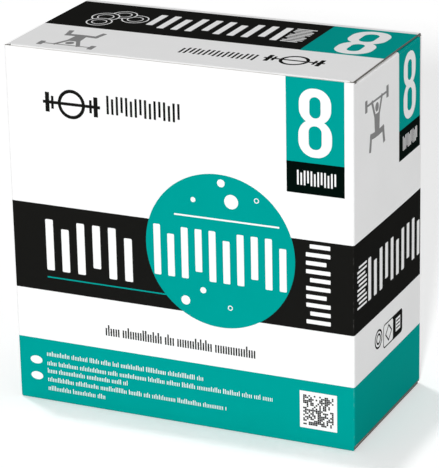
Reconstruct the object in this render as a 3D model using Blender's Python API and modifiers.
"""Retail carton of gymnastics chalk: a folded paperboard box that holds eight pressed chalk blocks, each in a
paper sleeve, two wide, two deep and two high.

The front faces -Y, +Z is up, and the origin is the middle of the footprint, on the surface that the carton
stands on. The tuck lid is creased to the back panel, its tuck flap to the lid's front edge, and a dust flap
to each side panel. The bottom is glued shut.
"""

import math

import bmesh
import bpy

MM = 0.001

# Board, paper and the gaps between pieces.
BOARD = 0.5 * MM
PAPER = 0.2 * MM
GLUE_FILM = 0.1 * MM
CLEARANCE = 0.3 * MM
CREASE_GAP = 0.15 * MM

# A 56 g pressed block, 2 in square.
BLOCK_SIDE = 50.8 * MM
BLOCK_THICKNESS = 22.6 * MM
BLOCK_EDGE = 1.0 * MM
BLOCKS_WIDE = 2
BLOCKS_DEEP = 2
BLOCKS_HIGH = 2
SLEEVE_SLACK = 0.2 * MM
HEADSPACE = 2.0 * MM
TUCK_SPACE = 3.2 * MM
SIDE_GAP = 0.4 * MM

# Flaps.
LID_INSET = 0.4 * MM
TUCK_LENGTH = 12.0 * MM
TUCK_INSET = 1.0 * MM
TUCK_CORNER = 7.0 * MM
TUCK_ROOT = 0.75 * MM
DUST_LENGTH = 32.0 * MM
DUST_BACK_INSET = 1.5 * MM
DUST_FRONT_INSET = 3.0 * MM
DUST_FRONT_TAPER = 4.0 * MM
DUST_CORNER = 4.0 * MM
GLUE_FLAP_WIDTH = 13.0 * MM
GLUE_FLAP_TAPER = 5.0 * MM
BOTTOM_INNER_LENGTH = 40.0 * MM
BOTTOM_INSET = 0.5 * MM
ARC_STEPS = 5

# How far the flaps turn for each degree of the lid. It sets the tuck flap's lean and the dust flaps' taper.
TUCK_TURN_PER_LID_TURN = 0.30
TUCK_EXIT_MARGIN = 0.15 * MM
DUST_TURN_PER_LID_TURN = 0.45
DUST_TAPER_MARGIN = 0.05

# Looks: a linear colour and a roughness. Nothing here is metal.
COATED_WHITE = ((0.85, 0.85, 0.84), 0.4)
BLACK_PRINT = ((0.012, 0.012, 0.011), 0.4)
TEAL_PRINT = ((0.0, 0.34, 0.3), 0.4)
BARE_BOARD = ((0.7, 0.68, 0.63), 0.8)
PRESSED_CHALK = ((0.88, 0.88, 0.86), 0.95)
THIN_PAPER = ((0.8, 0.8, 0.77), 0.7)

# Sizes that follow.
SLEEVE_WIDTH = BLOCK_SIDE + 2 * (SLEEVE_SLACK + PAPER)
SLEEVE_DEPTH = BLOCK_THICKNESS + 2 * (SLEEVE_SLACK + PAPER)
PITCH_X = SLEEVE_WIDTH + SIDE_GAP
PITCH_Y = SLEEVE_DEPTH + CLEARANCE
PITCH_Z = BLOCK_SIDE + SIDE_GAP
WIDTH = BLOCKS_WIDE * PITCH_X + SIDE_GAP + 2 * BOARD
BACK_LAYERS = 2 * BOARD + GLUE_FILM + CLEARANCE
DEPTH = BACK_LAYERS + BLOCKS_DEEP * PITCH_Y - CLEARANCE + TUCK_SPACE + BOARD
FLOOR_TOP = 3 * BOARD + 2 * GLUE_FILM + CLEARANCE
DUST_TOP = FLOOR_TOP + BLOCKS_HIGH * PITCH_Z - SIDE_GAP + HEADSPACE + BOARD
HEIGHT = DUST_TOP + CLEARANCE + BOARD
HALF_WIDTH = WIDTH / 2
HALF_DEPTH = DEPTH / 2
LID_DEPTH = DEPTH - BOARD - CLEARANCE


def clear_scene():
    for leftover in list(bpy.data.objects):
        bpy.data.objects.remove(leftover, do_unlink=True)


def new_collection(name):
    collection = bpy.data.collections.new(name)
    bpy.context.scene.collection.children.link(collection)
    return collection


def new_material(name, look):
    colour, roughness = look
    material = bpy.data.materials.new(name)
    material.use_nodes = True
    shader = material.node_tree.nodes["Principled BSDF"]
    shader.inputs["Base Color"].default_value = (*colour, 1.0)
    shader.inputs["Roughness"].default_value = roughness
    shader.inputs["Metallic"].default_value = 0.0
    return material


def add_object(name, data, location=(0, 0, 0), parent=None):
    placed = bpy.data.objects.new(name, data)
    CARTON.objects.link(placed)
    placed.location = location
    placed.parent = parent
    return placed


def crease(name, location, lean=0.0):
    """An empty on a crease line: the flaps that turn about that line are its children."""
    axis = add_object(name, None, location)
    axis.rotation_euler.x = lean
    axis.empty_display_size = 8 * MM
    return axis


def rounded(outline, radii):
    """The outline with each corner that has a radius replaced by an arc of ARC_STEPS chords."""
    points = []
    count = len(outline)
    for index, (x, y) in enumerate(outline):
        radius = radii[index]
        if not radius:
            points.append((x, y))
            continue
        before = math.atan2(outline[index - 1][1] - y, outline[index - 1][0] - x)
        after_x, after_y = outline[(index + 1) % count]
        after = math.atan2(after_y - y, after_x - x)
        opening = (after - before + math.pi) % (2 * math.pi) - math.pi
        half = abs(opening) / 2
        middle = before + opening / 2
        centre_x = x + radius / math.sin(half) * math.cos(middle)
        centre_y = y + radius / math.sin(half) * math.sin(middle)
        sweep = math.copysign(math.pi - 2 * half, -opening)
        start = middle + math.pi - sweep / 2
        for step in range(ARC_STEPS + 1):
            angle = start + sweep * step / ARC_STEPS
            points.append((centre_x + radius * math.cos(angle), centre_y + radius * math.sin(angle)))
    return points


def mirrored(outline):
    """The same outline on the other side of the carton."""
    return [(-x, y) for x, y in reversed(outline)]


def sheet(name, outline, look, location=(0, 0, 0), parent=None, tilt=0.0, thickness=BOARD):
    """A flat piece cut to the outline, with half of its thickness on each side of its own XY plane."""
    cut = bpy.data.curves.new(name, "CURVE")
    cut.dimensions = "2D"
    cut.fill_mode = "BOTH"
    cut.extrude = thickness / 2
    spline = cut.splines.new("POLY")
    spline.points.add(len(outline) - 1)
    for point, (x, y) in zip(spline.points, outline):
        point.co = (x, y, 0.0, 1.0)
    spline.use_cyclic_u = True
    cut.materials.append(new_material(name, look))
    placed = add_object(name, cut, location, parent)
    placed.rotation_euler.x = tilt
    return placed


def wall(name, half_length, place, bottom, top):
    """A panel of the carton's tube, seen in plan: its upright edges are mitred where the board is creased.
    place gives a plan point from how far along the wall it is and how far in from the outer face."""
    outline = [
        place(-half_length + CREASE_GAP, 0),
        place(half_length - CREASE_GAP, 0),
        place(half_length - CREASE_GAP - BOARD, BOARD),
        place(-half_length + CREASE_GAP + BOARD, BOARD),
    ]
    return sheet(name, outline, COATED_WHITE, (0, 0, (bottom + top) / 2), thickness=top - bottom)


def carton_tube():
    """The four upright panels and the flap that glues the last of them to the back panel."""
    side_bottom = 3 * BOARD + 3 * GLUE_FILM
    side_top = DUST_TOP - BOARD - CLEARANCE
    back_bottom = 2 * BOARD + 2 * GLUE_FILM
    back_top = HEIGHT - BOARD - CLEARANCE
    wall("front_panel", HALF_WIDTH, lambda u, v: (u, v - HALF_DEPTH), BOARD + GLUE_FILM, HEIGHT - GLUE_FILM)
    wall("back_panel", HALF_WIDTH, lambda u, v: (-u, HALF_DEPTH - v), back_bottom, back_top)
    wall("right_side_panel", HALF_DEPTH, lambda u, v: (HALF_WIDTH - v, u), side_bottom, side_top)
    wall("left_side_panel", HALF_DEPTH, lambda u, v: (v - HALF_WIDTH, -u), side_bottom, side_top)

    # The glue flap lies on the back panel's inner face. Its outline is drawn upright, as (x, z).
    flap_left = -HALF_WIDTH + BOARD + CLEARANCE
    flap_right = flap_left + GLUE_FLAP_WIDTH
    outline = [
        (flap_left, side_bottom),
        (flap_right, side_bottom + GLUE_FLAP_TAPER),
        (flap_right, side_top - GLUE_FLAP_TAPER),
        (flap_left, side_top),
    ]
    flap_y = HALF_DEPTH - BOARD - GLUE_FILM - BOARD / 2
    sheet("glue_flap", outline, BARE_BOARD, (0, flap_y, 0), tilt=math.pi / 2)


def tuck_lean():
    """How far the closed tuck flap leans in from upright. Its edge then clears the front panel as the lid
    lifts it out, although the flap unfolds a little on the way."""
    reach = DEPTH - BOARD - TUCK_EXIT_MARGIN
    sine = (LID_DEPTH**2 + TUCK_LENGTH**2 - reach**2) / (2 * LID_DEPTH * TUCK_LENGTH)
    lid_turn_at_exit = math.asin(TUCK_LENGTH / LID_DEPTH)
    return math.asin(sine) + TUCK_TURN_PER_LID_TURN * lid_turn_at_exit


def lid_and_tuck():
    """The lid turns about the carton's top back edge, and the tuck flap about the lid's front edge."""
    hinge = crease("lid_crease", (0, HALF_DEPTH, HEIGHT))
    half = HALF_WIDTH - LID_INSET
    lid_outline = [
        (-half, -LID_DEPTH + CREASE_GAP),
        (half, -LID_DEPTH + CREASE_GAP),
        (half, -CREASE_GAP),
        (-half, -CREASE_GAP),
    ]
    sheet("lid_panel", lid_outline, BLACK_PRINT, (0, 0, -BOARD / 2), hinge)

    fold = crease("tuck_crease", (0, HALF_DEPTH - LID_DEPTH, HEIGHT), tuck_lean())
    half = HALF_WIDTH - BOARD - TUCK_INSET
    tuck_outline = rounded(
        [(-half, -TUCK_LENGTH), (half, -TUCK_LENGTH), (half, -TUCK_ROOT), (-half, -TUCK_ROOT)],
        [TUCK_CORNER, TUCK_CORNER, 0, 0],
    )
    sheet("lid_tuck_flap", tuck_outline, COATED_WHITE, (0, BOARD / 2, 0), fold, tilt=math.pi / 2)


def dust_flap_outline(length, back_inset, back_slope, front_inset):
    """A left dust flap in plan, from its crease at x = 0 inwards."""
    back = HALF_DEPTH - back_inset
    front = -HALF_DEPTH + front_inset
    return rounded(
        [
            (CREASE_GAP, front),
            (length, front + DUST_FRONT_TAPER),
            (length, back - back_slope * length),
            (CREASE_GAP, back),
        ],
        [0, DUST_CORNER, DUST_CORNER, 0],
    )


def top_dust_flaps():
    """They lie under the lid. Their back edges taper, so that they follow the lid up without touching it."""
    slope = DUST_TURN_PER_LID_TURN + DUST_TAPER_MARGIN
    outline = dust_flap_outline(DUST_LENGTH, DUST_BACK_INSET, slope, DUST_FRONT_INSET)
    left = crease("left_dust_crease", (-HALF_WIDTH, 0, DUST_TOP))
    sheet("left_dust_flap", outline, COATED_WHITE, (0, 0, -BOARD / 2), left)
    right = crease("right_dust_crease", (HALF_WIDTH, 0, DUST_TOP))
    sheet("right_dust_flap", mirrored(outline), COATED_WHITE, (0, 0, -BOARD / 2), right)


def glued_bottom():
    """Three glued layers: the outer flap from the front panel, the inner flap from the back panel, then the
    side panels' dust flaps under the blocks."""
    layer = BOARD + GLUE_FILM
    half = HALF_WIDTH - BOTTOM_INSET
    outer = [
        (-half, -HALF_DEPTH + CREASE_GAP),
        (half, -HALF_DEPTH + CREASE_GAP),
        (half, HALF_DEPTH - BOTTOM_INSET),
        (-half, HALF_DEPTH - BOTTOM_INSET),
    ]
    sheet("bottom_outer_flap", outer, TEAL_PRINT, (0, 0, BOARD / 2))
    front = HALF_DEPTH - BOTTOM_INNER_LENGTH
    inner = [
        (-half, front),
        (half, front),
        (half, HALF_DEPTH - CREASE_GAP),
        (-half, HALF_DEPTH - CREASE_GAP),
    ]
    sheet("bottom_inner_flap", inner, BARE_BOARD, (0, 0, BOARD / 2 + layer))
    slope = DUST_FRONT_TAPER / DUST_LENGTH
    outline = dust_flap_outline(DUST_LENGTH, DUST_FRONT_INSET, slope, DUST_FRONT_INSET)
    height = BOARD / 2 + 2 * layer
    sheet("bottom_left_dust_flap", outline, BARE_BOARD, (-HALF_WIDTH, 0, height))
    sheet("bottom_right_dust_flap", mirrored(outline), BARE_BOARD, (HALF_WIDTH, 0, height))


def box_mesh(name, look, width, depth, height, open_ends=False):
    mesh = bpy.data.meshes.new(name)
    mesh.materials.append(new_material(name, look))
    box = bmesh.new()
    bmesh.ops.create_cube(box, size=1.0)
    bmesh.ops.scale(box, vec=(width, depth, height), verts=box.verts)
    if open_ends:
        ends = [face for face in box.faces if abs(face.normal.z) > 0.5]
        bmesh.ops.delete(box, geom=ends, context="FACES_ONLY")
    box.to_mesh(mesh)
    box.free()
    return mesh


def round_edges(piece, width):
    bevel = piece.modifiers.new("edges", "BEVEL")
    bevel.width = width
    bevel.segments = 2
    bevel.limit_method = "ANGLE"


def chalk_blocks():
    """Eight blocks on edge, all of one mesh, and the paper sleeve round each, open at its top and bottom."""
    block = box_mesh("chalk_block", PRESSED_CHALK, BLOCK_SIDE, BLOCK_THICKNESS, BLOCK_SIDE)
    inside_width = BLOCK_SIDE + 2 * SLEEVE_SLACK
    inside_depth = BLOCK_THICKNESS + 2 * SLEEVE_SLACK
    tube = box_mesh("paper_sleeve", THIN_PAPER, inside_width, inside_depth, BLOCK_SIDE, open_ends=True)
    number = 0
    for level in range(BLOCKS_HIGH):
        for row in range(BLOCKS_DEEP):
            for column in range(BLOCKS_WIDE):
                number += 1
                place = (
                    (column - (BLOCKS_WIDE - 1) / 2) * PITCH_X,
                    HALF_DEPTH - BACK_LAYERS - SLEEVE_DEPTH / 2 - row * PITCH_Y,
                    FLOOR_TOP + BLOCK_SIDE / 2 + level * PITCH_Z,
                )
                chalk = add_object(f"chalk_block_{number}", block, place)
                round_edges(chalk, BLOCK_EDGE)
                sleeve = add_object(f"paper_sleeve_{number}", tube, place)
                round_edges(sleeve, BLOCK_EDGE)
                wrap = sleeve.modifiers.new("paper", "SOLIDIFY")
                wrap.thickness = PAPER
                wrap.offset = 1.0


clear_scene()
CARTON = new_collection("chalk_carton")
carton_tube()
lid_and_tuck()
top_dust_flaps()
glued_bottom()
chalk_blocks()
